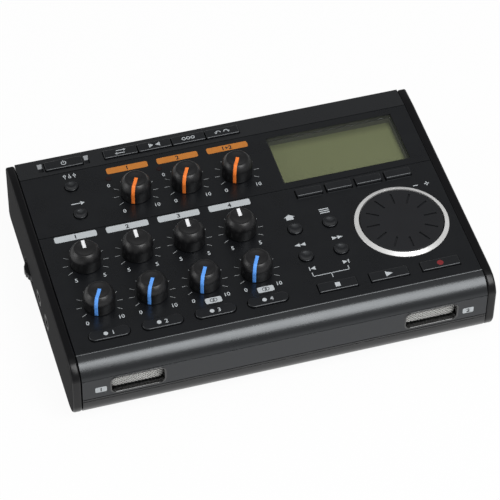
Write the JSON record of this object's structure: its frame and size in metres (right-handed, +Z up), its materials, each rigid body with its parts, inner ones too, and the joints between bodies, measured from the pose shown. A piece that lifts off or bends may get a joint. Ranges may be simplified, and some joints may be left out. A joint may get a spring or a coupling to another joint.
{
  "type": "digital multitrack recorder",
  "caption": "Flat black desktop audio recorder with rounded front, rows of knobs and buttons, a small green display and a data wheel in a bright ring.",
  "frame": {"origin": "on the table, under the middle of the object's bounding box", "axes": "+X to the right of a user at the front, +Y to the rear, +Z up"},
  "size_m": [0.155, 0.107, 0.0345],
  "materials": {
    "deck": "fine satin black",
    "case": "satin black",
    "end_panel": "satin black",
    "strip": "satin black",
    "window": "clear",
    "display": "green display",
    "ring": "turned",
    "board": "solder mask",
    "component": "moulded",
    "lamp": "unlit lens",
    "grille": "fine mesh",
    "metal": "plated",
    "jack": "moulded",
    "cell": "printed sleeve",
    "rubber": "matt",
    "knob": "satin, with a coloured line",
    "button": "satin",
    "wheel": "satin",
    "dial": "knurled"
  },
  "bodies": {
    "case": {"battery_cells": "cell", "battery_contacts": "metal", "card_socket": "metal", "case_screws": "metal", "control_board": "board", "data_socket": "metal", "display_module": "display", "display_window": "window", "feet": "rubber", "front_strip": "strip", "input_jacks": "jack", "lamp_lenses": "lamp", "left_end_panel": "end_panel", "lower_case": "case", "main_board": "board", "mic_capsules": "metal", "mic_grilles": "grille", "output_jacks": "jack", "power_inlet": "jack", "push_switches": "component", "right_end_panel": "end_panel", "rotary_controls": "component", "upper_case": "deck", "wheel_ring": "ring"},
    "pan_knob_1": {"pan_knob_1": "knob"},
    "level_knob_1": {"level_knob_1": "knob"},
    "pan_knob_2": {"pan_knob_2": "knob"},
    "level_knob_2": {"level_knob_2": "knob"},
    "pan_knob_3": {"pan_knob_3": "knob"},
    "level_knob_3": {"level_knob_3": "knob"},
    "pan_knob_4": {"pan_knob_4": "knob"},
    "level_knob_4": {"level_knob_4": "knob"},
    "input_knob_1": {"input_knob_1": "knob"},
    "input_knob_2": {"input_knob_2": "knob"},
    "master_knob": {"master_knob": "knob"},
    "data_wheel": {"data_wheel": "wheel"},
    "phones_dial": {"phones_dial": "dial"},
    "battery_cover": {"battery_cover": "case"},
    "power_button": {"power_button": "button"},
    "loop_button": {"loop_button": "button"},
    "marker_button": {"marker_button": "button"},
    "mode_button": {"mode_button": "button"},
    "undo_button": {"undo_button": "button"},
    "assign_button": {"assign_button": "button"},
    "input_setting_button": {"input_setting_button": "button"},
    "function_button_1": {"function_button_1": "button"},
    "function_button_2": {"function_button_2": "button"},
    "function_button_3": {"function_button_3": "button"},
    "function_button_4": {"function_button_4": "button"},
    "home_button": {"home_button": "button"},
    "menu_button": {"menu_button": "button"},
    "rewind_button": {"rewind_button": "button"},
    "forward_button": {"forward_button": "button"},
    "stop_button": {"stop_button": "button"},
    "play_button": {"play_button": "button"},
    "record_button": {"record_button": "button"},
    "arm_button_1": {"arm_button_1": "button"},
    "arm_button_2": {"arm_button_2": "button"},
    "arm_button_3": {"arm_button_3": "button"},
    "arm_button_4": {"arm_button_4": "button"}
  },
  "joints": [
    {"name": "pan_knob_1_turn", "type": "hinge", "parent": "case", "child": "pan_knob_1", "pos_m": [-0.05905, -0.0054, 0.0268], "axis": [0, 0, -1], "range_deg": [-150, 150]},
    {"name": "level_knob_1_turn", "type": "hinge", "parent": "case", "child": "level_knob_1", "pos_m": [-0.05905, -0.0255, 0.0268], "axis": [0, 0, -1], "range_deg": [0, 300]},
    {"name": "pan_knob_2_turn", "type": "hinge", "parent": "case", "child": "pan_knob_2", "pos_m": [-0.04015, -0.0054, 0.0268], "axis": [0, 0, -1], "range_deg": [-150, 150]},
    {"name": "level_knob_2_turn", "type": "hinge", "parent": "case", "child": "level_knob_2", "pos_m": [-0.04015, -0.0255, 0.0268], "axis": [0, 0, -1], "range_deg": [0, 300]},
    {"name": "pan_knob_3_turn", "type": "hinge", "parent": "case", "child": "pan_knob_3", "pos_m": [-0.02125, -0.0054, 0.0268], "axis": [0, 0, -1], "range_deg": [-150, 150]},
    {"name": "level_knob_3_turn", "type": "hinge", "parent": "case", "child": "level_knob_3", "pos_m": [-0.02125, -0.0255, 0.0268], "axis": [0, 0, -1], "range_deg": [0, 300]},
    {"name": "pan_knob_4_turn", "type": "hinge", "parent": "case", "child": "pan_knob_4", "pos_m": [-0.00235, -0.0054, 0.0268], "axis": [0, 0, -1], "range_deg": [-150, 150]},
    {"name": "level_knob_4_turn", "type": "hinge", "parent": "case", "child": "level_knob_4", "pos_m": [-0.00235, -0.0255, 0.0268], "axis": [0, 0, -1], "range_deg": [0, 300]},
    {"name": "input_knob_1_turn", "type": "hinge", "parent": "case", "child": "input_knob_1", "pos_m": [-0.0335, 0.0224, 0.0268], "axis": [0, 0, -1], "range_deg": [0, 300]},
    {"name": "input_knob_2_turn", "type": "hinge", "parent": "case", "child": "input_knob_2", "pos_m": [-0.0146, 0.0224, 0.0268], "axis": [0, 0, -1], "range_deg": [0, 300]},
    {"name": "master_knob_turn", "type": "hinge", "parent": "case", "child": "master_knob", "pos_m": [0.0043, 0.0224, 0.0268], "axis": [0, 0, -1], "range_deg": [0, 300]},
    {"name": "data_wheel_turn", "type": "hinge", "parent": "case", "child": "data_wheel", "pos_m": [0.0542, -0.0167, 0.0268], "axis": [0, 0, -1], "continuous": true},
    {"name": "phones_dial_turn", "type": "hinge", "parent": "case", "child": "phones_dial", "pos_m": [-0.0715, 0.015, 0.0056], "axis": [0, 0, 1], "range_deg": [-150, 150]},
    {"name": "battery_cover_slide", "type": "slide", "parent": "case", "child": "battery_cover", "axis": [0, 1, 0], "range_m": [0, 0.004]},
    {"name": "power_button_press", "type": "slide", "parent": "case", "child": "power_button", "axis": [0, 0, -1], "range_m": [0, 0.0006], "stiffness_N_per_m": 300},
    {"name": "loop_button_press", "type": "slide", "parent": "case", "child": "loop_button", "axis": [0, 0, -1], "range_m": [0, 0.0006], "stiffness_N_per_m": 300},
    {"name": "marker_button_press", "type": "slide", "parent": "case", "child": "marker_button", "axis": [0, 0, -1], "range_m": [0, 0.0006], "stiffness_N_per_m": 300},
    {"name": "mode_button_press", "type": "slide", "parent": "case", "child": "mode_button", "axis": [0, 0, -1], "range_m": [0, 0.0006], "stiffness_N_per_m": 300},
    {"name": "undo_button_press", "type": "slide", "parent": "case", "child": "undo_button", "axis": [0, 0, -1], "range_m": [0, 0.0006], "stiffness_N_per_m": 300},
    {"name": "assign_button_press", "type": "slide", "parent": "case", "child": "assign_button", "axis": [0, 0, -1], "range_m": [0, 0.0006], "stiffness_N_per_m": 300},
    {"name": "input_setting_button_press", "type": "slide", "parent": "case", "child": "input_setting_button", "axis": [0, 0, -1], "range_m": [0, 0.0006], "stiffness_N_per_m": 300},
    {"name": "function_button_1_press", "type": "slide", "parent": "case", "child": "function_button_1", "axis": [0, 0, -1], "range_m": [0, 0.0006], "stiffness_N_per_m": 300},
    {"name": "function_button_2_press", "type": "slide", "parent": "case", "child": "function_button_2", "axis": [0, 0, -1], "range_m": [0, 0.0006], "stiffness_N_per_m": 300},
    {"name": "function_button_3_press", "type": "slide", "parent": "case", "child": "function_button_3", "axis": [0, 0, -1], "range_m": [0, 0.0006], "stiffness_N_per_m": 300},
    {"name": "function_button_4_press", "type": "slide", "parent": "case", "child": "function_button_4", "axis": [0, 0, -1], "range_m": [0, 0.0006], "stiffness_N_per_m": 300},
    {"name": "home_button_press", "type": "slide", "parent": "case", "child": "home_button", "axis": [0, 0, -1], "range_m": [0, 0.0006], "stiffness_N_per_m": 300},
    {"name": "menu_button_press", "type": "slide", "parent": "case", "child": "menu_button", "axis": [0, 0, -1], "range_m": [0, 0.0006], "stiffness_N_per_m": 300},
    {"name": "rewind_button_press", "type": "slide", "parent": "case", "child": "rewind_button", "axis": [0, 0, -1], "range_m": [0, 0.0006], "stiffness_N_per_m": 300},
    {"name": "forward_button_press", "type": "slide", "parent": "case", "child": "forward_button", "axis": [0, 0, -1], "range_m": [0, 0.0006], "stiffness_N_per_m": 300},
    {"name": "stop_button_press", "type": "slide", "parent": "case", "child": "stop_button", "axis": [0, 0, -1], "range_m": [0, 0.0006], "stiffness_N_per_m": 300},
    {"name": "play_button_press", "type": "slide", "parent": "case", "child": "play_button", "axis": [0, 0, -1], "range_m": [0, 0.0006], "stiffness_N_per_m": 300},
    {"name": "record_button_press", "type": "slide", "parent": "case", "child": "record_button", "axis": [0, 0, -1], "range_m": [0, 0.0006], "stiffness_N_per_m": 300},
    {"name": "arm_button_1_press", "type": "slide", "parent": "case", "child": "arm_button_1", "axis": [0, 0, -1], "range_m": [0, 0.0006], "stiffness_N_per_m": 300},
    {"name": "arm_button_2_press", "type": "slide", "parent": "case", "child": "arm_button_2", "axis": [0, 0, -1], "range_m": [0, 0.0006], "stiffness_N_per_m": 300},
    {"name": "arm_button_3_press", "type": "slide", "parent": "case", "child": "arm_button_3", "axis": [0, 0, -1], "range_m": [0, 0.0006], "stiffness_N_per_m": 300},
    {"name": "arm_button_4_press", "type": "slide", "parent": "case", "child": "arm_button_4", "axis": [0, 0, -1], "range_m": [0, 0.0006], "stiffness_N_per_m": 300}
  ]
}
